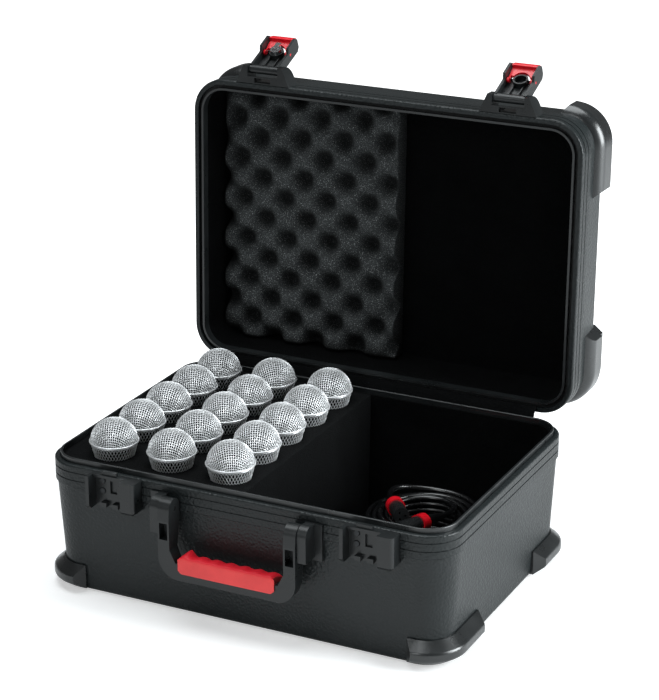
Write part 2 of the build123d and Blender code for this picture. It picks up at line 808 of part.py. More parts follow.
base_knuckles = [index for index in range(knuckles) if index % 2 == 0]
lid_knuckles = [index for index in range(knuckles) if index % 2 == 1]
pin_reach = hinge_width / 2 + hinge_pin_overhang
running_radius = hinge_pin_radius + running_clearance
hinge_pins = [
    pin_along_x(station - pin_reach, station + pin_reach, hinge_y, hinge_z, hinge_pin_radius)
    for station in hinge_stations
]
running_holes = [
    pin_along_x(station - pin_reach, station + pin_reach, hinge_y, hinge_z, running_radius)
    for station in hinge_stations
]
with BuildPart() as base_leaves:
    add(hinge_leaf(base_knuckles, base_plate_range, (base_plate_range[0], hinge_z)))
    for pin in hinge_pins:
        add(pin, mode=Mode.SUBTRACT)
    add(base_hinge_rivets, mode=Mode.SUBTRACT)
keep(base_leaves.part, "base_hinge_leaves")

with BuildPart() as lid_leaves:
    add(hinge_leaf(lid_knuckles, lid_plate_range, (hinge_z, lid_plate_range[1])))
    for hole in running_holes:
        add(hole, mode=Mode.SUBTRACT)
    add(lid_hinge_rivets, mode=Mode.SUBTRACT)
keep(turned_open(lid_leaves.part), "lid_hinge_leaves")

with BuildPart() as pins:
    for pin in hinge_pins:
        add(pin)
keep(pins.part, "hinge_pins")

# ---------------------------------------------------------------- latches


def slab(x_range, proud_range, z_range, mode=Mode.ADD):
    """A block on the case's front: across, out from the rim band's face, and up."""
    middle = (
        sum(x_range) / 2,
        front - sum(proud_range) / 2,
        sum(z_range) / 2,
    )
    with Locations(middle):
        Box(x_range[1] - x_range[0], proud_range[1] - proud_range[0], z_range[1] - z_range[0], mode=mode)


def side_prism(points, x_range, mode=Mode.ADD):
    """A prism across the case under a side outline of proud and height points."""
    with BuildSketch(Plane.YZ.offset(x_range[0])) as outline:
        with BuildLine():
            Polyline(*[(front - proud, z) for proud, z in points], close=True)
        make_face()
    extrude(outline.sketch, amount=x_range[1] - x_range[0], mode=mode)


keeper_top = base_mouth - keeper_drop
keeper_bottom = keeper_top - keeper_height
half_opening = latch_opening / 2
half_lever = half_opening - lever_side_clearance
lever_outer = lever_pivot_proud + lever_barrel_radius  # outer face, out from the rim band
nub_low = keeper_bottom + keeper_nub_foot
tab_width, tab_depth, tab_rise = keeper_tab
embed = 2 * wall  # depth behind the band that is trimmed to the shell's own surface


def keeper(station):
    """The base's half of a latch: two cheeks, a slotted post, two catch nubs and a locating tab."""
    left, right = station - half_opening, station + half_opening
    z_range = (keeper_bottom, keeper_top)
    post = (station + keeper_post[0], station + keeper_post[1])
    slot = (station + keeper_slot[0], station + keeper_slot[1])
    slot_top = keeper_top - 2 * keeper_rail[0]
    with BuildPart() as body:
        slab((right, right + keeper_right_cheek), (-embed, keeper_proud), z_range)
        outer_edges = body.edges().filter_by(Axis.Z).group_by(Axis.Y)[0].sort_by(Axis.X)[-1:]
        fillet(outer_edges, keeper_round)
        slab((left - keeper_left_cheek, left), (-embed, keeper_proud), z_range)
        slab((left, right), (-embed, keeper_plate), z_range)
        slab((left, right), (0, keeper_rail[1]), (keeper_top - keeper_rail[0], keeper_top))
        slab(post, (0, keeper_post_proud), (keeper_bottom + keeper_post_foot, keeper_top))
        slot_heights = (slot_top - keeper_slot_height, slot_top)
        slab(slot, (keeper_plate, keeper_post_proud), slot_heights, Mode.SUBTRACT)
        for place in keeper_nub_places:
            x_range = (station + place - keeper_nub_width / 2, station + place + keeper_nub_width / 2)
            slab(x_range, (0, keeper_nub_proud), (nub_low, nub_low + keeper_nub_height))
        slab(
            (station - tab_width / 2, station + tab_width / 2),
            (keeper_tab_proud, keeper_tab_proud + tab_depth),
            (keeper_top, base_mouth + tab_rise),
        )
        cheek_edges = body.faces().sort_by(Axis.Z)[0].edges().group_by(Axis.Y)[0]
        chamfer(cheek_edges, keeper_left_cheek)
        add(base_block.part, mode=Mode.SUBTRACT)
        add(base_latch_rivets, mode=Mode.SUBTRACT)
    return body.part


def lever_pin(station):
    """The pin that a lever turns on, through both cheeks of its bracket."""
    reach = bracket_shoulder + lever_pin_overhang
    return pin_along_x(station - reach, station + reach, lever_y, lever_z, lever_pin_radius)


def bracket(station):
    """The lid's half of a latch: two curved cheeks for the lever's pivot, a back plate and a slotted lip."""
    low, high = lid_mouth, lid_mouth + bracket_height
    inner = (station - half_opening, station + half_opening)
    with BuildPart() as body:
        with BuildSketch(Plane.XY.offset(low)):
            with BuildLine():
                Polyline(
                    (station - bracket_foot, front),
                    (station - bracket_shoulder, front - bracket_proud),
                    (station + bracket_shoulder, front - bracket_proud),
                    (station + bracket_foot, front),
                    close=True,
                )
            make_face()
        extrude(amount=bracket_height)
        top_edges = body.faces().sort_by(Axis.Z)[-1].edges().sort_by(Axis.Y)[0]
        fillet(top_edges, bracket_proud / 2)
        lip_high = low + bracket_front_plate
        slab(inner, (keeper_plate, bracket_front_proud), (lip_high, high), Mode.SUBTRACT)
        slab(inner, (bracket_front_proud, bracket_proud), (low, high), Mode.SUBTRACT)
        slot_width, slot_depth = bracket_slot
        slot_middle = keeper_tab_proud + tab_depth / 2
        slab(
            (station - slot_width / 2, station + slot_width / 2),
            (slot_middle - slot_depth / 2, slot_middle + slot_depth / 2),
            (low, lip_high),
            Mode.SUBTRACT,
        )
        add(lever_pin(station), mode=Mode.SUBTRACT)
        add(lid_latch_rivets, mode=Mode.SUBTRACT)
    return body.part


def lever(station, locking):
    """The throw lever: an outer web between two deepening side walls, on a round barrel."""
    outer = (station - half_lever, station + half_lever)
    web_inner = lever_outer - lever_web
    far = keeper_bottom - lever_overhang
    near_inner, far_inner = lever_outer - lever_near_depth, lever_outer - lever_far_depth
    wall_outline = [
        (lever_outer, lever_z),
        (lever_outer, far + lever_tip_slope),
        (lever_outer - lever_tip_slope, far),
        (far_inner + lever_wall, far),
        (far_inner, far + lever_wall),
        (far_inner, lever_z - lever_step_place - lever_wall),
        (near_inner, lever_z - lever_step_place),
        (near_inner, lever_z),
    ]
    lock_plane = Plane(
        origin=(station, front - web_inner, lever_z - lock_place), x_dir=(1, 0, 0), z_dir=(0, 1, 0)
    )
    with BuildPart() as body:
        for x_range in ((outer[0], outer[0] + lever_wall), (outer[1] - lever_wall, outer[1])):
            side_prism(wall_outline, x_range)
        slab(outer, (web_inner, lever_outer), (lever_z - lever_web_reach, lever_z))
        for side in (-1, 1):
            middle = station + side * lever_rib_place
            slab(
                (middle - lever_rib_width / 2, middle + lever_rib_width / 2),
                (web_inner - lever_rib_height, web_inner),
                (lever_z - lock_place, lever_z),
            )
        add(pin_along_x(*outer, lever_y, lever_z, lever_barrel_radius))
        with BuildSketch(lock_plane):
            Circle(lock_radius + lock_boss_wall)
        extrude(amount=lock_boss_height)
        with BuildSketch(lock_plane):
            Circle(lock_radius + running_clearance)
        extrude(amount=lock_boss_height, mode=Mode.SUBTRACT)
        if locking:
            with BuildSketch(lock_plane):
                Circle(lock_radius + running_clearance)
            extrude(amount=-lever_web, mode=Mode.SUBTRACT)
        bore = lever_pin_radius + running_clearance
        add(pin_along_x(*outer, lever_y, lever_z, bore), mode=Mode.SUBTRACT)
        stub = release_pin_radius + running_clearance
        add(pin_along_x(*outer, release_y, release_z, stub), mode=Mode.SUBTRACT)
    return body.part


release_y = front - lever_outer + release_pin_depth
release_z = lever_z - release_pin_place


def release(station):
    """The red catch: a finger tab with a hook that closes under the nubs, on two arms with stub pins."""
    half = half_lever - lever_wall - release_side_gap
    root, hook_top = lever_z - release_root, nub_low - catch_gap
    tip = hook_top - catch_height - release_tip_length
    pin_proud = front - release_y
    inner_line = keeper_nub_proud + catch_gap
    tab_outline = [
        (pin_proud - release_thickness / 2, root),
        (inner_line, hook_top),
        (catch_proud, hook_top),
        (catch_proud, hook_top - catch_height),
        (release_tip_proud, tip),
        (release_tip_proud + release_thickness, tip),
        (pin_proud + release_thickness / 2, root),
    ]
    lock_plane = Plane(origin=(station, front, lever_z - lock_place), x_dir=(1, 0, 0), z_dir=(0, -1, 0))
    with BuildPart() as body:
        side_prism(tab_outline, (station - half, station + half))
        with BuildSketch(lock_plane):
            Circle(lock_notch)
        extrude(amount=lever_outer, mode=Mode.SUBTRACT)
        for side in (-1, 1):
            outer_face, inner_face = station + side * half, station + side * (half - release_arm)
            arm = (min(outer_face, inner_face), max(outer_face, inner_face))
            side_prism(
                [
                    (pin_proud - release_thickness / 2, root),
                    (pin_proud + release_thickness / 2, root),
                    (pin_proud + release_thickness / 2, release_z),
                    (pin_proud - release_thickness / 2, release_z),
                ],
                arm,
            )
            add(pin_along_x(*arm, release_y, release_z, release_hub))
            stub_tip = station + side * (half_lever - running_clearance)
            stub = (min(inner_face, stub_tip), max(inner_face, stub_tip))
            add(pin_along_x(*stub, release_y, release_z, release_pin_radius))
    return body.part


def lock_barrel(station):
    """The key lock: a barrel through the lever's web with a cam on its inner end."""
    lock_z = lever_z - lock_place
    cam_face = lock_cam_proud + lock_cam_thickness
    face_proud = lever_outer + lock_face_proud
    lock_plane = Plane(origin=(station, front - cam_face, lock_z), x_dir=(1, 0, 0), z_dir=(0, -1, 0))
    with BuildPart() as body:
        with BuildSketch(lock_plane):
            Circle(lock_radius)
        extrude(amount=face_proud - cam_face)
        slab(
            (station - lock_cam_width / 2, station + lock_cam_width / 2),
            (lock_cam_proud, cam_face),
            (lock_z - lock_cam_reach, lock_z + lock_cam_back),
        )
        slot_width, slot_length, slot_depth = key_slot
        slab(
            (station - slot_width / 2, station + slot_width / 2),
            (face_proud - slot_depth, face_proud),
            (lock_z - slot_length / 2, lock_z + slot_length / 2),
            Mode.SUBTRACT,
        )
    return body.part


for side_name, station in zip(("left", "right"), latch_stations):
    keep(keeper(station), f"{side_name}_latch_keeper")
    keep(turned_open(bracket(station)), f"{side_name}_latch_bracket")
    keep(lever_open(lever(station, side_name == "left"), station), f"{side_name}_latch_lever")
    keep(lever_open(release(station), station), f"{side_name}_latch_release")
keep(lever_open(lock_barrel(latch_stations[0]), latch_stations[0]), "latch_lock_barrel")

with BuildPart() as lever_pins:
    for station in latch_stations:
        add(lever_pin(station))
keep(turned_open(lever_pins.part), "latch_lever_pins")

# ---------------------------------------------------------------- folding handle

pivot_y = front - pivot_proud
arm_inner = handle_half_width - arm_width
bail_bar_top = handle_bottom + bail_bar_height


def bail_front_outline():
    """The U-shaped front outline of the handle, as a sketch across the case."""
    top = pivot_height + pivot_boss + overcut
    with BuildSketch(Plane.XZ) as outline:
        with BuildLine():
            FilletPolyline(
                (-handle_half_width, top),
                (-handle_half_width, handle_bottom),
                (handle_half_width, handle_bottom),
                (handle_half_width, top),
                radius=bail_corner,
            )
            Line((handle_half_width, top), (-handle_half_width, top))
        make_face()
        with BuildLine():
            Polyline(
                (-arm_inner, top),
                (-arm_inner, bail_bar_top + arm_width),
                (-arm_inner + arm_width / 2, bail_bar_top),
                (arm_inner - arm_width / 2, bail_bar_top),
                (arm_inner, bail_bar_top + arm_width),
                (arm_inner, top),
                close=True,
            )
        make_face(mode=Mode.SUBTRACT)
    return outline.sketch


bail_outline = bail_front_outline()
with BuildPart() as bail:
    side_prism(
        [
            (pivot_proud + pivot_boss, pivot_height),
            (handle_front, pivot_height - pivot_boss),
            (handle_front, handle_bottom + bail_edge),
            (handle_front - bail_edge, handle_bottom),
            (bail_bar_back, handle_bottom),
            (bail_bar_back, bail_bar_top),
            (pivot_proud - pivot_boss, pivot_height - pivot_boss),
            (pivot_proud - pivot_boss, pivot_height),
        ],
        (-handle_half_width, handle_half_width),
    )
    add(pin_along_x(-handle_half_width, handle_half_width, pivot_y, pivot_height, pivot_boss))
    extrude(bail_outline, amount=case_depth, mode=Mode.INTERSECT)
    pocket_width, pocket_height, pocket_depth = arm_pocket
    pocket_middle = pivot_height - arm_pocket_drop
    for side in (-1, 1):
        middle = side * (handle_half_width - arm_width / 2)
        slab(
            (middle - pocket_width / 2, middle + pocket_width / 2),
            (handle_front - pocket_depth, handle_front),
            (pocket_middle - pocket_height / 2, pocket_middle + pocket_height / 2),
            Mode.SUBTRACT,
        )
    bore = handle_pin_radius + running_clearance
    add(
        pin_along_x(-handle_half_width, handle_half_width, pivot_y, pivot_height, bore),
        mode=Mode.SUBTRACT,
    )

grip_half_length = arm_inner - grip_end_gap
grip_bottom = handle_bottom + grip_lift
with BuildPart() as grip:
    grip_range = (grip_bottom, grip_bottom + grip_height)
    slab((-grip_half_length, grip_half_length), (grip_back, grip_front), grip_range)
    fillet(grip.edges().filter_by(Axis.X), grip_round)
    add(bail.part, mode=Mode.SUBTRACT)
keep(bail.part, "handle_bail")
keep(grip.part, "handle_grip")

flange_low, flange_high = ear_bottom - flange_drop, pivot_height + flange_rise
with BuildPart() as handle_pins:
    for side in (-1, 1):
        low, high = sorted((side * (arm_inner + pin_setback), side * (ear_inner + ear_thickness)))
        add(pin_along_x(low, high, pivot_y, pivot_height, handle_pin_radius))
keep(handle_pins.part, "handle_pins")

for side_name, side in (("left", -1), ("right", 1)):
    near, far = side * ear_inner, side * (ear_inner + ear_thickness)
    ear_range = sorted((near, far))
    flange_range = sorted((near, far + side * flange_reach))
    ear_crown = ear_proud - pivot_boss
    with BuildPart() as ear:
        slab(ear_range, (-embed, ear_proud), (ear_bottom, pivot_height))
        add(pin_along_x(*ear_range, front - ear_crown, pivot_height, pivot_boss))
        slab(ear_range, (-embed, ear_crown), (pivot_height, flange_high))
        slab(flange_range, (-embed, flange_thickness), (flange_low, flange_high))
        add(base_block.part, mode=Mode.SUBTRACT)
        add(handle_screws.part, mode=Mode.SUBTRACT)
        add(handle_pins.part, mode=Mode.SUBTRACT)
    keep(ear.part, f"{side_name}_handle_bracket")
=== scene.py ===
"""Looks of the open microphone case, in metres, on the bodies that the frame gives.

Finishes, woven grilles, convoluted foam, grip, hinge tape, stored cable, floor, lights and camera.
"""
import json
import math
import random

import bpy
import numpy as np
from mathutils import Matrix, Vector


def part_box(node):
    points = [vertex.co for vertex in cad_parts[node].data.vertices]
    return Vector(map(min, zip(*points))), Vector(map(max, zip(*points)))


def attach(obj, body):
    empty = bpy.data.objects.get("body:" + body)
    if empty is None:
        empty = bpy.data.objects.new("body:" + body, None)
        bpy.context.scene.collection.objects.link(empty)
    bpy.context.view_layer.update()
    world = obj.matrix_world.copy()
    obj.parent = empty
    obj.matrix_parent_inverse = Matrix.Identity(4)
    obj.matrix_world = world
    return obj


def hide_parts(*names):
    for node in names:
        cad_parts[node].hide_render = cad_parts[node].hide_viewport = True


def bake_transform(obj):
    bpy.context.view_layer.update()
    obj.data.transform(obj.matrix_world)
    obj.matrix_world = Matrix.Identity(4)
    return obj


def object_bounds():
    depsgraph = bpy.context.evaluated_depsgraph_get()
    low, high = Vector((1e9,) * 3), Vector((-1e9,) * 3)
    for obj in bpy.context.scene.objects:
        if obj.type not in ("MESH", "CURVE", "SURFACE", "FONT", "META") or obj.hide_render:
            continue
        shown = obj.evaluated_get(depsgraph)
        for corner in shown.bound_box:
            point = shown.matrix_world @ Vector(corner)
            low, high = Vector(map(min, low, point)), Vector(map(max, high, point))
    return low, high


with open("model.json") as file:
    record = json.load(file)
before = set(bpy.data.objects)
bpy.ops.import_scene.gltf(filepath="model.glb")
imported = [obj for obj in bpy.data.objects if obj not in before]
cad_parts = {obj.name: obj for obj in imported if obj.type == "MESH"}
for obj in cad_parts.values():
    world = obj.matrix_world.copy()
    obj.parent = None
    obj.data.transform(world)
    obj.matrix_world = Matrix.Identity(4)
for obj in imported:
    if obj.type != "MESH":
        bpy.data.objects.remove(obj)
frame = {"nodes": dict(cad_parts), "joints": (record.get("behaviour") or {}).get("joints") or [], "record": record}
cad_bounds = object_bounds()

MM = 0.001
random.seed(7)

# The photo's camera, fitted to the case's edges and the microphones
CAMERA_YAW = math.radians(26.489)
CAMERA_PITCH = math.radians(20.683)
CAMERA_ROLL = math.radians(-0.257)
CAMERA_PLACE = Vector((1.06254, -2.08288, 1.13715))
FOCAL_PIXELS = 2357.61
PICTURE_HEIGHT = 700.0  # pixels, the picture's longer side
SENSOR = 36.0  # millimetres

# ---------------------------------------------------------------- places read from the frame

JOINTS = {joint["name"]: joint for joint in frame["joints"]}
MICROPHONES = sorted(
    name for name in frame["nodes"] if name.startswith("microphone_") and name[-2:].isdigit()
)


def turn_about(joint_name, degrees):
    """The turn of a joint's child by an angle, as a matrix in the row frame at rest."""
    joint = JOINTS[joint_name]
    place = Vector(joint["pos_m"])
    turn = Matrix.Rotation(math.radians(degrees), 4, Vector(joint["axis"]))
    return Matrix.Translation(place) @ turn @ Matrix.Translation(-place)


LID_SHUT = turn_about("lid_hinge", JOINTS["lid_hinge"]["range_deg"][0])
LID_OPEN = LID_SHUT.inverted()


def vertices_of(node):
    """A CAD node's vertices, as rows of x, y and z."""
    mesh = frame["nodes"][node].data
    points = np.zeros(len(mesh.vertices) * 3)
    mesh.vertices.foreach_get("co", points)
    return points.reshape(-1, 3)


def shut_box(node):
    """Lowest and highest corner of a lid node, measured with the lid shut."""
    turned = vertices_of(node) @ np.array(LID_SHUT.to_3x3()).T + np.array(LID_SHUT.translation)
    return Vector(turned.min(0)), Vector(turned.max(0))


# ---------------------------------------------------------------- materials


class Nodes:
    """A material's node tree with short ways to add nodes and links."""

    def __init__(self, name):
        self.material = bpy.data.materials.new(name)
        self.material.use_nodes = True
        self.tree = self.material.node_tree
        self.shader = self.tree.nodes["Principled BSDF"]
        self.place = self.add("ShaderNodeTexCoord").outputs["Object"]

    def add(self, kind, **settings):
        node = self.tree.nodes.new(kind)
        for key, value in settings.items():
            setattr(node, key, value)
        return node

    def link(self, source, target):
        self.tree.links.new(source, target)

    def noise(self, scale, detail=4.0, roughness=0.55, place=None):
        node = self.add("ShaderNodeTexNoise")
        node.inputs["Scale"].default_value = scale
        node.inputs["Detail"].default_value = detail
        node.inputs["Roughness"].default_value = roughness
        self.link(place or self.place, node.inputs["Vector"])
        return node.outputs["Fac"]

    def cells(self, scale, feature="F1", output="Distance"):
        node = self.add("ShaderNodeTexVoronoi", feature=feature)
        node.inputs["Scale"].default_value = scale
        self.link(self.place, node.inputs["Vector"])
        return node.outputs[output]

    def ramp(self, factor, low, high, low_color, high_color):
        node = self.add("ShaderNodeValToRGB")
        first, last = node.color_ramp.elements
        first.position, last.position = low, high
        first.color, last.color = (*low_color, 1.0), (*high_color, 1.0)
        self.link(factor, node.inputs["Fac"])
        return node.outputs["Color"]

    def spread(self, factor, low, high, from_low=0.0, from_high=1.0):
        node = self.add("ShaderNodeMapRange")
        node.inputs["From Min"].default_value = from_low
        node.inputs["From Max"].default_value = from_high
        node.inputs["To Min"].default_value = low
        node.inputs["To Max"].default_value = high
        self.link(factor, node.inputs["Value"])
        return node.outputs["Result"]

    def math(self, operation, first, second):
        node = self.add("ShaderNodeMath", operation=operation)
        for socket, value in zip(node.inputs, (first, second)):
            if isinstance(value, (int, float)):
                socket.default_value = value
            else:
                self.link(value, socket)
        return node.outputs["Value"]

    def shaded(self, color, reach):
        """Painted shade: a colour that darkens where surfaces within reach close in on each other."""
        near = self.add("ShaderNodeAmbientOcclusion", samples=8)
        near.inputs["Distance"].default_value = reach
        depth = self.math("POWER", near.outputs["AO"], 1.8)
        node = self.add("ShaderNodeMix", data_type="RGBA", blend_type="MULTIPLY")
        node.inputs["Factor"].default_value = 1.0
        self.link(color, node.inputs["A"])
        self.link(depth, node.inputs["B"])
        return node.outputs["Result"]

    def bump(self, height, strength, distance, below=None):
        node = self.add("ShaderNodeBump")
        node.inputs["Strength"].default_value = strength
        node.inputs["Distance"].default_value = distance
        self.link(height, node.inputs["Height"])
        if below is not None:
            self.link(below, node.inputs["Normal"])
        return node.outputs["Normal"]

    def finish(self, color=None, roughness=None, normal=None, **fixed):
        for socket, value in (("Base Color", color), ("Roughness", roughness), ("Normal", normal)):
            if value is not None:
                self.link(value, self.shader.inputs[socket])
        for name, value in fixed.items():
            self.shader.inputs[name.replace("_", " ").title().replace("Ior", "IOR")].default_value = value
        return self.material


FINE_GRAIN = 1400.0  # noise cells a metre, on smooth plastic and rubber


def moulded_plastic(name, dark, light, roughness, pebble, depth, specular):
    """Textured moulded plastic: rounded pebbles of a given size with a finer grain between them."""
    nodes = Nodes(name)
    pebbles = nodes.cells(1.0 / pebble, feature="SMOOTH_F1")
    fine = nodes.noise(900.0)
    broad = nodes.noise(9.0, detail=3.0)
    color = nodes.ramp(broad, 0.3, 0.7, dark, light)
    shine = nodes.spread(fine, roughness - 0.08, roughness + 0.1, 0.3, 0.7)
    normal = nodes.bump(pebbles, 0.75, depth)
    normal = nodes.bump(fine, 0.35, depth * 0.4, below=normal)
    return nodes.finish(color, shine, normal, specular_ior_level=specular)


def smooth_plastic(name, dark, light, roughness, strength=0.12, specular=0.5, coat=0.0):
    """Nearly smooth moulded plastic with faint mottling in its colour and shine."""
    nodes = Nodes(name)
    fine = nodes.noise(FINE_GRAIN, detail=3.0)
    broad = nodes.noise(26.0, detail=5.0)
    color = nodes.ramp(broad, 0.32, 0.68, dark, light)
    shine = nodes.spread(broad, roughness - 0.07, roughness + 0.09, 0.3, 0.7)
    normal = nodes.bump(fine, strength, 0.0002)
    return nodes.finish(
        color, shine, normal, specular_ior_level=specular, coat_weight=coat, coat_roughness=0.25
    )


def open_foam(name, dark, light, painted_glint, cell, specular, shade_reach=0.0):
    """Open-cell foam: pores, painted highlight flecks and slow colour changes, with painted shade in its hollows
    if asked.
    """
    nodes = Nodes(name)
    pores = nodes.cells(1.0 / cell)
    flecks = nodes.noise(950.0, detail=2.0, roughness=0.7)
    broad = nodes.noise(30.0, detail=4.0)
    ground = nodes.ramp(broad, 0.3, 0.7, dark, light)
    # Painted highlight: noise flecks that mix a bright glint colour into the foam's colour
    glint_mask = nodes.spread(flecks, 0.0, 1.0, 0.58, 0.70)
    mix = nodes.add("ShaderNodeMix", data_type="RGBA")
    nodes.link(glint_mask, mix.inputs["Factor"])
    nodes.link(ground, mix.inputs["A"])
    mix.inputs["B"].default_value = (*painted_glint, 1.0)
    color = mix.outputs["Result"]
    # Painted shade: darkens the foam's colour in its hollows, by how near other surfaces are
    if shade_reach:
        color = nodes.shaded(color, shade_reach)
    normal = nodes.bump(pores, 0.8, 0.0009)
    normal = nodes.bump(nodes.noise(260.0), 0.5, 0.0012, below=normal)
    rough = nodes.spread(flecks, 0.95, 0.7, 0.5, 0.8)
    return nodes.finish(color, rough, normal, specular_ior_level=specular)


def worn_metal(name, dark, light, roughness, metallic=1.0, brush=(60.0, 60.0, 1800.0)):
    """Plated or brushed metal: fine streaks along one way and cloudy roughness."""
    nodes = Nodes(name)
    mapping = nodes.add("ShaderNodeMapping")
    mapping.inputs["Scale"].default_value = brush
    nodes.link(nodes.place, mapping.inputs["Vector"])
    streaks = nodes.noise(1.0, detail=3.0, place=mapping.outputs["Vector"])
    clouds = nodes.noise(120.0, detail=3.0)
    color = nodes.ramp(clouds, 0.3, 0.7, dark, light)
    shine = nodes.spread(streaks, roughness - 0.08, roughness + 0.1, 0.3, 0.7)
    normal = nodes.bump(streaks, 0.1, 0.0001)
    return nodes.finish(color, shine, normal, metallic=metallic)


SHELL = moulded_plastic(
    "shell_plastic",
    dark=(0.0080, 0.0108, 0.0114),
    light=(0.0118, 0.0152, 0.0160),
    roughness=0.36,
    pebble=0.0026,
    depth=0.0008,
    specular=0.36,
)
BUMPER = smooth_plastic(
    "bumper_plastic",
    dark=(0.008, 0.0093, 0.0098),
    light=(0.012, 0.0138, 0.0145),
    roughness=0.28,
    strength=0.3,
    coat=0.6,
)
RIM = smooth_plastic(
    "rim_metal",
    dark=(0.008, 0.0095, 0.010),
    light=(0.013, 0.0150, 0.0158),
    roughness=0.30,
    strength=0.15,
    specular=0.8,
)
LINING = open_foam(
    "lining_foam",
    dark=(0.0014, 0.0015, 0.0017),
    light=(0.0026, 0.0028, 0.0030),
    painted_glint=(0.005, 0.0055, 0.006),
    cell=0.0008,
    specular=0.06,
)
FOAM = open_foam(
    "charcoal_foam",
    dark=(0.0018, 0.0020, 0.0022),
    light=(0.0032, 0.0035, 0.0038),
    painted_glint=(0.008, 0.009, 0.010),
    cell=0.0011,
    specular=0.10,
)
CRATE = open_foam(
    "crate_foam",
    dark=(0.036, 0.0395, 0.0405),
    light=(0.052, 0.0565, 0.0575),
    # painted highlight flecks on the peaks
    painted_glint=(0.42, 0.44, 0.44),
    cell=0.0013,
    specular=0.2,
    # painted shade in the valleys of the relief, within 32 mm
    shade_reach=0.032,
)
SEAL = smooth_plastic("seal_rubber", (0.004, 0.004, 0.0045), (0.007, 0.007, 0.0075), 0.6)
LATCH = smooth_plastic(
    "latch_plastic",
    dark=(0.0065, 0.0078, 0.0082),
    light=(0.0105, 0.0122, 0.0128),
    roughness=0.32,
    strength=0.3,
)
RED = smooth_plastic(
    "release_plastic",
    dark=(0.62, 0.003, 0.010),
    light=(0.76, 0.006, 0.018),
    roughness=0.30,
    strength=0.06,
    coat=0.3,
)
STEEL = worn_metal("hinge_steel", (0.030, 0.032, 0.034), (0.050, 0.053, 0.056), 0.38, metallic=0.6)
CHROME = worn_metal("lock_chrome", (0.70, 0.70, 0.71), (0.86, 0.86, 0.87), 0.16)
NICKEL = worn_metal(
    "grille_nickel",
    dark=(0.76, 0.77, 0.78),
    light=(0.90, 0.91, 0.92),
    roughness=0.36,
    metallic=0.6,
    brush=(400, 400, 400),
)
ENAMEL = worn_metal("handle_enamel", (0.030, 0.031, 0.034), (0.05, 0.052, 0.056), 0.42, metallic=0.5)
LINER = open_foam(
    "grille_liner",
    dark=(0.0012, 0.0012, 0.0012),
    light=(0.002, 0.002, 0.002),
    painted_glint=(0.004, 0.004, 0.004),
    cell=0.0011,
    specular=0.0,
)
CABLE = smooth_plastic(
    "cable_rubber",
    dark=(0.0030, 0.0030, 0.0033),
    light=(0.0050, 0.0050, 0.0055),
    roughness=0.24,
    strength=0.15,
    coat=0.5,
)
PLUG = worn_metal("plug_enamel", (0.014, 0.015, 0.016), (0.024, 0.026, 0.027), 0.30, metallic=0.4)


def grip_rubber():
    """Coral rubber on the faces that look outwards, with painted shade that turns the upward faces crimson."""
    nodes = Nodes("grip_rubber")
    normal = nodes.add("ShaderNodeNewGeometry").outputs["Normal"]
    parts = nodes.add("ShaderNodeSeparateXYZ")
    nodes.link(normal, parts.inputs[0])
    top_shade = nodes.spread(parts.outputs["Z"], 0.0, 1.0, 0.25, 0.75)
    broad = nodes.noise(60.0, detail=3.0)
    face = nodes.ramp(broad, 0.3, 0.7, (0.84, 0.060, 0.062), (0.95, 0.080, 0.080))
    mix = nodes.add("ShaderNodeMix", data_type="RGBA")
    nodes.link(top_shade, mix.inputs["Factor"])
    nodes.link(face, mix.inputs["A"])
    # Painted shade: the crimson that faces looking upwards blend to
    mix.inputs["B"].default_value = (0.66, 0.005, 0.018, 1.0)
    grain = nodes.bump(nodes.noise(FINE_GRAIN, detail=3.0), 0.3, 0.0002)
    shine = nodes.spread(broad, 0.5, 0.65, 0.3, 0.7)
    return nodes.finish(mix.outputs["Result"], shine, grain, specular_ior_level=0.4)


GRIP = grip_rubber()

FINISHES = {
    "shell_plastic": SHELL,
    "bumper_plastic": BUMPER,
    "rim_metal": RIM,
    "lining_foam": LINING,
    "charcoal_foam": FOAM,
    "seal_rubber": SEAL,
    "latch_plastic": LATCH,
    "release_plastic": RED,
    "grip_rubber": GRIP,
    "hinge_steel": STEEL,
    "lock_chrome": CHROME,
    "microphone_metal": NICKEL,
    "cable_rubber": CABLE,
    "plug_metal": PLUG,
    "ring_plastic": RED,
}
for subpart in frame["record"]["subparts"]:
    node = frame["nodes"][subpart["node"]]
    node.data.materials.clear()
    node.data.materials.append(FINISHES[subpart["material_slot"]])


# ---------------------------------------------------------------- mesh helpers


def mesh_object(name, points, faces, materials, face_slots=None, smooth=True):
    """A mesh in the scene, with a material for each face where face_slots says which."""
    mesh = bpy.data.meshes.new(name)
    mesh.from_pydata([tuple(point) for point in points], [], faces)
    for material in materials:
        mesh.materials.append(material)
    if face_slots is not None:
        mesh.polygons.foreach_set("material_index", face_slots)
    mesh.polygons.foreach_set("use_smooth", [smooth] * len(mesh.polygons))
    mesh.update()
    piece = bpy.data.objects.new(name, mesh)
    bpy.context.scene.collection.objects.link(piece)
    return piece


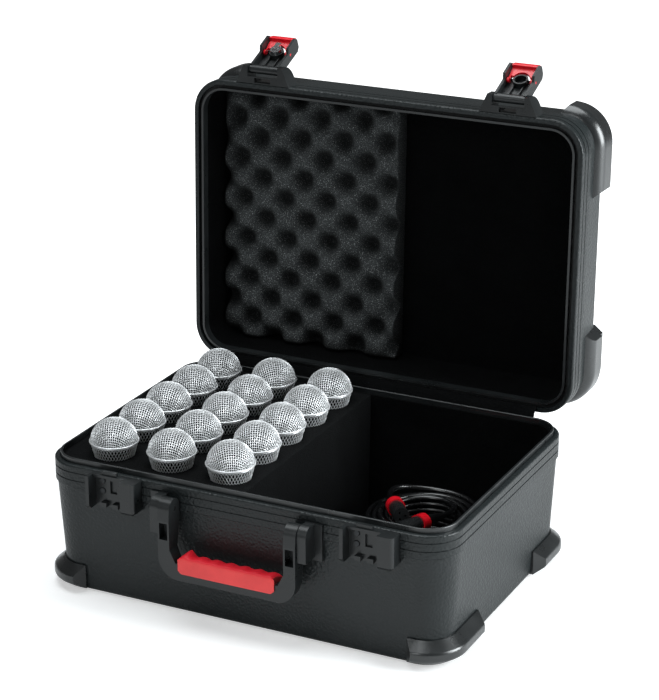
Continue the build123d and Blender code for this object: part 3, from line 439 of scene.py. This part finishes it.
class Builder:
    """Collects points and faces of one mesh, with a material slot for each face."""

    def __init__(self):
        self.points, self.faces, self.slots = [], [], []

    def put(self, points, faces, slot):
        start = len(self.points)
        self.points.extend(points)
        self.faces.extend(tuple(start + index for index in face) for face in faces)
        self.slots.extend([slot] * len(faces))

    def lathe(self, profile, slot, sides=48):
        """A turned shell about the Z axis, through points of radius and height."""
        points, faces = [], []
        for radius, height in profile:
            for side in range(sides):
                angle = 2 * math.pi * side / sides
                points.append((radius * math.cos(angle), radius * math.sin(angle), height))
        for row in range(len(profile) - 1):
            for side in range(sides):
                near, far = row * sides + side, row * sides + (side + 1) % sides
                faces.append((near, far, far + sides, near + sides))
        self.put(points, faces, slot)

    def wire(self, path, out, radius, slot, sides=4):
        """A thin round wire along a path, with an outward direction given at each of its points."""
        path, out = np.array(path), np.array(out)
        along = np.gradient(path, axis=0)
        along /= np.linalg.norm(along, axis=1)[:, None]
        across = np.cross(along, out)
        across /= np.linalg.norm(across, axis=1)[:, None]
        up = np.cross(across, along)
        points, faces = [], []
        for side in range(sides):
            angle = 2 * math.pi * (side + 0.5) / sides
            points.append(path + radius * (math.cos(angle) * across + math.sin(angle) * up))
        points = np.stack(points, axis=1).reshape(-1, 3)
        for row in range(len(path) - 1):
            for side in range(sides):
                near, far = row * sides + side, row * sides + (side + 1) % sides
                faces.append((near, far, far + sides, near + sides))
        self.put([tuple(point) for point in points], faces, slot)


# ---------------------------------------------------------------- microphones

grille_low, grille_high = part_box(MICROPHONES[0])
BALL = 25.5 * MM  # radius
DOME_RISE = 24.0 * MM  # the woven top over the middle of its lip
BAND_HEIGHT = 2.6 * MM
CONE_HEIGHT = 22.0 * MM
COLLAR_RADIUS = 19.7 * MM
COLLAR_HEIGHT = 7.0 * MM
HANDLE_TOP_RADIUS = 18.3 * MM
TAIL_RADIUS = 12.0 * MM
TAIL_LENGTH = 21.0 * MM
BALL_HEIGHT = grille_high.z - DOME_RISE  # lip's middle above the origin
HANDLE_FOOT = grille_low.z - BALL_HEIGHT  # handle's end, from the ball's centre
WIRE = 0.45 * MM  # radius
WEAVE_PITCH = 2.8 * MM
WEAVE_LIFT = 0.24 * MM  # a wire's way out and in as it crosses the others
WIRE_SPHERE = BALL - WIRE - WEAVE_LIFT
CONE_SPOKES, CONE_ROWS = 42, 6
LINER_GAP, LINER_DROP = 2.2 * MM, 3.5 * MM  # under the wires, at the side and on top
MICROPHONE_TURN = 14.0  # degrees each way from facing the camera
LIP_BEADS = (  # height of its middle, radius, and radius of its ring
    (-0.6 * MM, 1.1 * MM, 25.8 * MM),
    (-2.4 * MM, 0.7 * MM, 25.0 * MM),
)


def on_dome(across, along, lift):
    """A point of a flat square mesh drawn over the ball, with its outward direction."""
    reach = math.hypot(across, along)
    tilt, heading = reach / WIRE_SPHERE, math.atan2(along, across)
    out = (math.sin(tilt) * math.cos(heading), math.sin(tilt) * math.sin(heading), math.cos(tilt))
    point = [(WIRE_SPHERE + lift) * value for value in out]
    point[2] *= DOME_RISE / BALL
    return tuple(point), out


def dome_mesh(builder):
    """Two sets of wires, over and under each other, from rim to rim of the hemisphere."""
    reach = WIRE_SPHERE * math.pi / 2
    count = int(reach / WEAVE_PITCH)
    for turned in (False, True):
        for line in range(-count, count + 1):
            across = line * WEAVE_PITCH
            half = math.sqrt(max(reach * reach - across * across, 0.0))
            steps = int(half / WEAVE_PITCH)
            stops = [-half] + [step * WEAVE_PITCH for step in range(-steps, steps + 1)] + [half]
            path, out = [], []
            for stop in stops:
                step = round(stop / WEAVE_PITCH)
                lift = WEAVE_LIFT if (step + line + turned) % 2 else -WEAVE_LIFT
                pair = (stop, across) if turned else (across, stop)
                point, outward = on_dome(*pair, lift)
                path.append(point)
                out.append(outward)
            builder.wire(path, out, WIRE, 0)


def cone_mesh(builder):
    """The grille's lower half: slanted wires both ways from the band down to the collar."""
    for way in (-1, 1):
        for spoke in range(CONE_SPOKES):
            path, out = [], []
            for row in range(CONE_ROWS + 1):
                share = row / CONE_ROWS
                radius = WIRE_SPHERE - share * (WIRE_SPHERE - COLLAR_RADIUS + WIRE)
                angle = 2 * math.pi * (spoke + way * 0.5 * row) / CONE_SPOKES
                lift = WEAVE_LIFT if (row + (way > 0)) % 2 else -WEAVE_LIFT
                outward = (math.cos(angle), math.sin(angle), 0.0)
                height = -BAND_HEIGHT - share * CONE_HEIGHT
                path.append(((radius + lift) * outward[0], (radius + lift) * outward[1], height))
                out.append(outward)
            builder.wire(path, out, WIRE, 0)


def band_profile():
    """The rounded lip between the grille's two halves: a full bead over a smaller one."""
    profile = []
    for middle, radius, ring in LIP_BEADS:
        for step in range(9):
            angle = math.radians(100 - 200 * step / 8)
            profile.append((ring + radius * math.cos(angle) * 0.85, middle + radius * math.sin(angle)))
    return profile


def handle_profile():
    """Collar, tapered handle with a soft shoulder, and the connector tail."""
    top = -BAND_HEIGHT - CONE_HEIGHT
    foot = HANDLE_FOOT + TAIL_LENGTH
    shoulder = top - COLLAR_HEIGHT
    return [
        (COLLAR_RADIUS - 2.2 * MM, top),
        (COLLAR_RADIUS, top - 0.6 * MM),
        (COLLAR_RADIUS, shoulder + 0.8 * MM),
        (COLLAR_RADIUS - 0.7 * MM, shoulder),
        (HANDLE_TOP_RADIUS - 1.6 * MM, shoulder - 0.2 * MM),
        (HANDLE_TOP_RADIUS - 1.2 * MM, shoulder - 1.2 * MM),
        (HANDLE_TOP_RADIUS - 0.1 * MM, shoulder - 2.0 * MM),
        (HANDLE_TOP_RADIUS - 0.6 * MM, shoulder - 9.0 * MM),
        (TAIL_RADIUS + 0.8 * MM, foot + 4.0 * MM),
        (TAIL_RADIUS + 0.2 * MM, foot + 1.0 * MM),
        (TAIL_RADIUS - 1.0 * MM, foot),
        (TAIL_RADIUS - 1.0 * MM, foot - 1.6 * MM),
        (TAIL_RADIUS - 0.2 * MM, foot - 2.2 * MM),
        (TAIL_RADIUS - 0.2 * MM, HANDLE_FOOT + 0.8 * MM),
        (TAIL_RADIUS - 1.0 * MM, HANDLE_FOOT),
        (TAIL_RADIUS - 3.0 * MM, HANDLE_FOOT),
        (TAIL_RADIUS - 3.0 * MM, HANDLE_FOOT + 9.0 * MM),
        (0.0, HANDLE_FOOT + 9.0 * MM),
    ]


def liner_profile():
    """The windscreen foam that fills the grille, seen through the mesh."""
    radius, rise = WIRE_SPHERE - LINER_GAP, DOME_RISE - LINER_DROP
    angles = [math.radians(degrees) for degrees in range(90, -1, -9)]
    steps = [(radius * math.cos(angle), rise * math.sin(angle)) for angle in angles]
    return steps + [(COLLAR_RADIUS - 1.5 * MM, -BAND_HEIGHT - CONE_HEIGHT)]


def microphone_mesh():
    """One microphone with its origin in the middle of its lip."""
    builder = Builder()
    dome_mesh(builder)
    cone_mesh(builder)
    builder.lathe(band_profile(), 0, sides=72)
    builder.lathe(liner_profile(), 1)
    builder.lathe(handle_profile()[:4], 3)
    builder.lathe(handle_profile()[3:], 2)
    metals = [NICKEL, LINER, ENAMEL, STEEL]
    return mesh_object("microphone_model", builder.points, builder.faces, metals, builder.slots)


def microphones():
    """Fifteen microphones that share one mesh, each in its node's place and turned a little differently."""
    first = microphone_mesh()
    for name in MICROPHONES:
        low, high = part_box(name)
        piece = first if name == MICROPHONES[0] else bpy.data.objects.new(f"{name}_model", first.data)
        if piece is not first:
            bpy.context.scene.collection.objects.link(piece)
        piece.name = f"{name}_model"
        turn = math.radians(random.uniform(-MICROPHONE_TURN, MICROPHONE_TURN))
        piece.location = ((low.x + high.x) / 2, (low.y + high.y) / 2, high.z - DOME_RISE)
        piece.rotation_euler = (0.0, 0.0, CAMERA_YAW + turn)
        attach(piece, name)
        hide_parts(name)


microphones()

# ---------------------------------------------------------------- convoluted foam in the lid

CRATE_PITCH = (26.75 * MM, 24.2 * MM)  # from a valley to the next peak, each way
CRATE_TURN = math.radians(-4.5)
CRATE_VALLEY = (-97.4 * MM, -122.3 * MM)  # one valley's place with the lid shut
CRATE_FLOOR = 6.0 * MM  # foam left under a valley
CRATE_NARROWING = 2.0  # valleys are narrower than peaks
CRATE_STEP = 2.4 * MM


def crate_height(x, y, thickness):
    """Foam height above its glued face: staggered peaks and valleys."""
    across, along = x - CRATE_VALLEY[0], y - CRATE_VALLEY[1]
    turned = math.cos(CRATE_TURN) * across + math.sin(CRATE_TURN) * along
    risen = math.cos(CRATE_TURN) * along - math.sin(CRATE_TURN) * across
    wave = math.cos(math.pi * turned / CRATE_PITCH[0]) * math.cos(math.pi * risen / CRATE_PITCH[1])
    return CRATE_FLOOR + (thickness - CRATE_FLOOR) * (1.0 - (0.5 + 0.5 * wave) ** CRATE_NARROWING)


def convoluted_foam():
    """The slab with its relief, drawn with the lid shut and then turned open with it."""
    low, high = shut_box("lid_convoluted_foam")
    thickness = high.z - low.z
    columns = round((high.x - low.x) / CRATE_STEP)
    rows = round((high.y - low.y) / CRATE_STEP)
    points, faces = [], []
    for row in range(rows + 1):
        for column in range(columns + 1):
            x = low.x + (high.x - low.x) * column / columns
            y = low.y + (high.y - low.y) * row / rows
            points.append((x, y, high.z - crate_height(x, y, thickness)))
    width = columns + 1
    for row in range(rows):
        for column in range(columns):
            corner = row * width + column
            faces.append((corner, corner + width, corner + width + 1, corner + 1))
    border = [(0, column) for column in range(columns)]
    border += [(row, columns) for row in range(rows)]
    border += [(rows, column) for column in range(columns, 0, -1)]
    border += [(row, 0) for row in range(rows, 0, -1)]
    top = [row * width + column for row, column in border]
    glued = len(points)
    points += [(points[index][0], points[index][1], high.z) for index in top]
    for index, corner in enumerate(top):
        after = (index + 1) % len(top)
        faces.append((corner, top[after], glued + after, glued + index))
    faces.append(tuple(range(glued, glued + len(top))))
    points = [LID_OPEN @ Vector(point) for point in points]
    foam = mesh_object("egg_crate_foam", points, faces, [CRATE])
    for face in foam.data.polygons[rows * columns:]:
        face.use_smooth = False
    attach(foam, "lid")
    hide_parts("lid_convoluted_foam")


convoluted_foam()

# ---------------------------------------------------------------- grip

GRIP_HALF_LENGTH = 58.6 * MM
GRIP_END_CURL = 5.5 * MM  # shorter by this much at the top and the foot
GRIP_SECTION = (  # millimetres back from the bar's front and up from its foot, and the share of the waves
    (-3.0, 11.5, 0.0),
    (-2.2, 9.4, 0.0),
    (1.0, 8.6, 0.0),
    (16.0, 8.6, 0.0),
    (19.0, 12.0, 0.0),
    (19.0, 20.0, 0.2),
    (18.0, 23.6, 1.0),
    (15.0, 25.6, 1.0),
    (9.0, 27.4, 0.7),
    (2.0, 28.6, 0.3),
    (-1.6, 28.4, 0.1),
    (-3.0, 26.4, 0.0),
)
GRIP_MIDDLE = (8.0, 19.0)  # of the section, which shrinks towards it at the ends
GRIP_HALF_SECTION = 10.4  # millimetres up or down from the middle, where the ends curl in the most
GRIP_WAVE = 1.0 * MM
GRIP_WAVE_LENGTH = 16.3 * MM
GRIP_FLARE = 5.0 * MM  # extra height of the hump near the left end
GRIP_FLARE_PLACE = -48.0 * MM
GRIP_FLARE_REACH = 4.0 * MM
GRIP_STATIONS = 96
GRIP_END_ROUND = 3.0 * MM
GRIP_END_SHRINK = 0.16


def grip_mesh():
    """A rubber sleeve over the handle's bar, with finger waves along its upper edge and curled ends."""
    bar_low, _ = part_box("handle_bail")
    front, foot = bar_low.y, bar_low.z
    middle = (front + GRIP_MIDDLE[0] * MM, foot + GRIP_MIDDLE[1] * MM)
    points = []
    for station in range(GRIP_STATIONS + 1):
        share = 2 * station / GRIP_STATIONS - 1
        past = abs(share) * GRIP_HALF_LENGTH - GRIP_HALF_LENGTH + GRIP_END_ROUND
        near_end = max(0.0, past) / GRIP_END_ROUND
        shrink = 1.0 - GRIP_END_SHRINK * near_end**2
        for back, up, waves in GRIP_SECTION:
            curl = abs(up - GRIP_MIDDLE[1]) / GRIP_HALF_SECTION
            x = share * (GRIP_HALF_LENGTH - GRIP_END_CURL * curl**2.2)
            wave = GRIP_WAVE * math.cos(2 * math.pi * x / GRIP_WAVE_LENGTH)
            flare = GRIP_FLARE * math.exp(-(((x - GRIP_FLARE_PLACE) / GRIP_FLARE_REACH) ** 2))
            y = front + back * MM
            z = foot + up * MM + waves * (wave + flare)
            y, z = middle[0] + (y - middle[0]) * shrink, middle[1] + (z - middle[1]) * shrink
            points.append((x, y, z))
    count = len(GRIP_SECTION)
    faces = []
    for station in range(GRIP_STATIONS):
        for corner in range(count):
            near, far = station * count + corner, station * count + (corner + 1) % count
            faces.append((near, far, far + count, near + count))
    faces.append(tuple(range(count)))
    faces.append(tuple(GRIP_STATIONS * count + corner for corner in reversed(range(count))))
    grip = mesh_object("handle_sleeve", points, faces, [GRIP])
    rounding = grip.modifiers.new("rounding", "SUBSURF")
    rounding.levels = rounding.render_levels = 1
    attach(grip, "handle")
    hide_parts("handle_grip")


grip_mesh()

# ---------------------------------------------------------------- tape behind the hinge line

TAPE_SIDE = 34.0 * MM  # from the rim insert's side to the tape's end
TAPE_SET = 1.5 * MM  # in from the rim insert's back face
TAPE_LIFT = 0.1 * MM  # off each rim insert's edge
TAPE_BOW = 1.6 * MM  # across the straight line between its edges
TAPE_COLUMNS, TAPE_ROWS = 60, 6


def hinge_tape():
    """Black cloth tape that bridges the gap between the two rims along the hinges."""
    rim_low, rim_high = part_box("base_valance")
    lid_low, _ = shut_box("lid_valance")
    base_edge = Vector((0.0, rim_high.y - TAPE_SET, rim_high.z + TAPE_LIFT))
    lid_edge = LID_OPEN @ Vector((0.0, rim_high.y - TAPE_SET, lid_low.z - TAPE_LIFT))
    across = lid_edge - base_edge
    bow = Vector((0.0, -across.z, across.y)).normalized() * TAPE_BOW
    length = rim_high.x - rim_low.x - 2 * TAPE_SIDE
    points, faces = [], []
    for column in range(TAPE_COLUMNS + 1):
        x = (rim_low.x + TAPE_SIDE) + length * column / TAPE_COLUMNS
        for row in range(TAPE_ROWS + 1):
            share = row / TAPE_ROWS
            place = base_edge + across * share + bow * math.sin(math.pi * share)
            points.append((x, place.y, place.z))
    for column in range(TAPE_COLUMNS):
        for row in range(TAPE_ROWS):
            corner = column * (TAPE_ROWS + 1) + row
            faces.append((corner, corner + 1, corner + TAPE_ROWS + 2, corner + TAPE_ROWS + 1))
    tape = mesh_object("hinge_tape", points, faces, [LINING])
    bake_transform(tape)


hinge_tape()

# ---------------------------------------------------------------- stored cable

CABLE_DIAMETER = 6.5 * MM
CABLE_BANKS = (40.0 * MM, 47.0 * MM, 54.0 * MM, 61.0 * MM)  # radii of the coil's turns
BANK_TURNS = 7.5
BANK_START = math.radians(90.0)
TURN_POINTS = 16  # of the route in one turn
CHANGE_POINTS = 5  # of the route from one bank to the next
PLUG_LIFT = 9.0 * MM  # plugs' middles over the coil's top
BOOT_REACH = 36.0 * MM  # from the ring's middle to the boot's end
BOOT_DROP = 5.8 * MM
PIN_RING, PIN_HEADING = (19.0, -50.0), math.radians(78.5)  # ring's place in millimetres, cable's way out
SOCKET_RING, SOCKET_HEADING = (-23.0, -23.0), math.radians(124.4)
PIN_LEAD = (  # from the coil's middle and over its top turn, in millimetres
    (28.2, -5.2, 5.2),
    (29.2, 5.5, 3.8),
    (28.3, 17.0, 2.3),
    (23.9, 28.6, 1.0),
    (14.4, 37.0, 0.2),
)
SOCKET_LEAD = (
    (2.7, 61.8, 0.1),
    (-19.0, 58.9, 1.0),
    (-34.5, 51.8, 2.6),
    (-44.6, 42.6, 4.8),
    (-49.4, 33.4, 6.6),
    (-50.2, 24.0, 6.9),
    (-47.6, 14.5, 6.9),
)
COIL_LOW, COIL_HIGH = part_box("cable_coil")
COIL_MIDDLE = (COIL_LOW + COIL_HIGH) / 2
BOTTOM_TURN = COIL_LOW.z + CABLE_DIAMETER / 2
TOP_TURN = COIL_HIGH.z - CABLE_DIAMETER / 2


def boot_end(ring, heading):
    """The middle of a plug's boot where the cable leaves it."""
    tilt = math.atan2(BOOT_DROP, BOOT_REACH)
    level = math.cos(tilt)
    along = Vector((level * math.cos(heading), level * math.sin(heading), -math.sin(tilt)))
    over_coil = Vector((COIL_MIDDLE.x, COIL_MIDDLE.y, COIL_HIGH.z + PLUG_LIFT))
    return over_coil + Vector((*ring, 0.0)) * MM + along * BOOT_REACH


def on_coil(radius, angle, height):
    """A control point that pulls the cable's line to a radius from the coil's middle."""
    pull = radius / math.cos(math.pi / TURN_POINTS) ** (2 / 3)
    return Vector((COIL_MIDDLE.x + pull * math.cos(angle), COIL_MIDDLE.y + pull * math.sin(angle), height))


def lead_points(lead):
    """Points of a plug's lead, measured from the coil's middle and its top turn."""
    start = Vector((COIL_MIDDLE.x, COIL_MIDDLE.y, TOP_TURN))
    return [start + Vector(point) * MM for point in lead]


def cable_route():
    """From the pin plug onto the inner bank, bank by bank outwards, and off the outer one to the socket."""
    step = 2 * math.pi / TURN_POINTS
    angle = BANK_START
    height, goal = TOP_TURN, BOTTOM_TURN
    route = [boot_end(PIN_RING, PIN_HEADING)] + lead_points(PIN_LEAD)
    for bank, radius in enumerate(CABLE_BANKS):
        points = round(BANK_TURNS * TURN_POINTS)
        for point in range(points + 1):
            route.append(on_coil(radius, angle + point * step, height + (goal - height) * point / points))
        angle += points * step
        if bank + 1 < len(CABLE_BANKS):
            for point in range(1, CHANGE_POINTS):
                wider = radius + (CABLE_BANKS[bank + 1] - radius) * point / CHANGE_POINTS
                route.append(on_coil(wider, angle + point * step, goal))
            angle += CHANGE_POINTS * step
        height, goal = goal, height
    return route + lead_points(SOCKET_LEAD) + [boot_end(SOCKET_RING, SOCKET_HEADING)]


def stored_cable():
    """A round cable along the route, from the pin plug's boot to the socket plug's."""
    route = cable_route()
    curve = bpy.data.curves.new("stored_cable", "CURVE")
    curve.dimensions = "3D"
    line = curve.splines.new("NURBS")
    line.points.add(len(route) - 1)
    for point, place in zip(line.points, route):
        point.co = (*place, 1.0)
    line.use_endpoint_u = True
    line.order_u = 3
    line.resolution_u = 3
    curve.bevel_depth = CABLE_DIAMETER / 2
    curve.bevel_resolution = 2
    curve.materials.append(CABLE)
    cable = bpy.data.objects.new("stored_cable", curve)
    bpy.context.scene.collection.objects.link(cable)
    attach(cable, "base")
    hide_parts("cable_coil")


stored_cable()

# ---------------------------------------------------------------- floor, light and camera

FLOOR_REACH = 6.0
GROUND = cad_bounds[0].z
LIGHT_FLOOR, PALE_FLOOR = (0.78, 0.78, 0.78), (0.82, 0.82, 0.82)
FLOOR_LIFT = 0.44  # light that the camera sees from the paper under the case
FLOOR_NEAR, FLOOR_FAR = 0.35, 0.75  # from the case's middle, where the paper's own light grows to full
WORLD_LIGHT = 0.11
LIGHT_AIM = (0.0, 0.0, 0.2)
COOL = (0.93, 0.98, 1.0)


def white_floor():
    """Studio paper that the camera sees near white round the case's soft shadow, and plain white far out."""
    nodes = Nodes("floor_paper")
    tree = nodes.tree
    tree.nodes.remove(nodes.shader)
    output = tree.nodes["Material Output"]
    diffuse, glow = nodes.add("ShaderNodeBsdfDiffuse"), nodes.add("ShaderNodeEmission")
    fibres = nodes.ramp(nodes.noise(500.0), 0.3, 0.7, LIGHT_FLOOR, PALE_FLOOR)
    nodes.link(fibres, diffuse.inputs["Color"])
    distance = nodes.add("ShaderNodeVectorMath", operation="LENGTH")
    nodes.link(nodes.place, distance.inputs[0])
    far = nodes.spread(distance.outputs["Value"], FLOOR_LIFT, 1.0, FLOOR_NEAR, FLOOR_FAR)
    path = nodes.add("ShaderNodeLightPath")
    seen = nodes.math("MAXIMUM", path.outputs["Is Camera Ray"], path.outputs["Is Transmission Ray"])
    nodes.link(nodes.math("MULTIPLY", far, seen), glow.inputs["Strength"])
    both = nodes.add("ShaderNodeAddShader")
    nodes.link(diffuse.outputs[0], both.inputs[0])
    nodes.link(glow.outputs[0], both.inputs[1])
    nodes.link(both.outputs[0], output.inputs["Surface"])
    return nodes.material


corners = ((-1, -1), (1, -1), (1, 1), (-1, 1))
corners = [(x * FLOOR_REACH, y * FLOOR_REACH, GROUND) for x, y in corners]
floor = mesh_object("floor", corners, [(0, 1, 2, 3)], [white_floor()], smooth=False)


def studio_world():
    """White behind everything for the camera, and a weak even light for the case."""
    world = bpy.data.worlds.new("studio")
    bpy.context.scene.world = world
    world.use_nodes = True
    tree = world.node_tree
    tree.nodes.clear()
    output = tree.nodes.new("ShaderNodeOutputWorld")
    background = tree.nodes.new("ShaderNodeBackground")
    background.inputs["Color"].default_value = (1.0, 1.0, 1.0, 1.0)
    path = tree.nodes.new("ShaderNodeLightPath")
    seen = tree.nodes.new("ShaderNodeMath")
    seen.operation = "MAXIMUM"
    tree.links.new(path.outputs["Is Camera Ray"], seen.inputs[0])
    tree.links.new(path.outputs["Is Transmission Ray"], seen.inputs[1])
    strength = tree.nodes.new("ShaderNodeMapRange")
    strength.inputs["To Min"].default_value = WORLD_LIGHT
    strength.inputs["To Max"].default_value = 1.0
    tree.links.new(seen.outputs[0], strength.inputs["Value"])
    tree.links.new(strength.outputs[0], background.inputs["Strength"])
    tree.links.new(background.outputs[0], output.inputs["Surface"])


studio_world()


def soft_box(name, place, size, power):
    """A rectangular lamp that faces the case."""
    light = bpy.data.lights.new(name, "AREA")
    light.shape = "RECTANGLE"
    light.size, light.size_y = size
    light.energy = power
    light.color = COOL
    lamp = bpy.data.objects.new(name, light)
    lamp.location = place
    lamp.rotation_euler = (Vector(LIGHT_AIM) - Vector(place)).to_track_quat("-Z", "Y").to_euler()
    bpy.context.scene.collection.objects.link(lamp)


soft_box("key_right", place=(2.4, 0.45, 1.0), size=(1.4, 1.6), power=108.0)
soft_box("top", place=(-0.2, 0.1, 2.6), size=(2.4, 1.8), power=62.0)
soft_box("front_fill", place=(-0.3, -2.6, 1.6), size=(1.0, 1.0), power=15.0)


def photo_camera():
    """The photo's view: yaw from straight ahead, pitch down, then a small roll."""
    level = math.cos(CAMERA_PITCH)
    forward = Vector((-math.sin(CAMERA_YAW) * level, math.cos(CAMERA_YAW) * level, -math.sin(CAMERA_PITCH)))
    right = forward.cross(Vector((0, 0, 1))).normalized()
    up = right.cross(forward)
    level_right = math.cos(CAMERA_ROLL) * right + math.sin(CAMERA_ROLL) * up
    level_up = math.cos(CAMERA_ROLL) * up - math.sin(CAMERA_ROLL) * right
    data = bpy.data.cameras.new("photo_camera")
    data.sensor_width = SENSOR
    data.lens = FOCAL_PIXELS * SENSOR / PICTURE_HEIGHT
    data.clip_end = 100.0
    camera = bpy.data.objects.new("photo_camera", data)
    turn = Matrix((level_right, level_up, -forward)).transposed().to_4x4()
    camera.matrix_world = Matrix.Translation(CAMERA_PLACE) @ turn
    bpy.context.scene.collection.objects.link(camera)
    bpy.context.scene.camera = camera


photo_camera()
bpy.context.scene.view_settings.view_transform = "Standard"
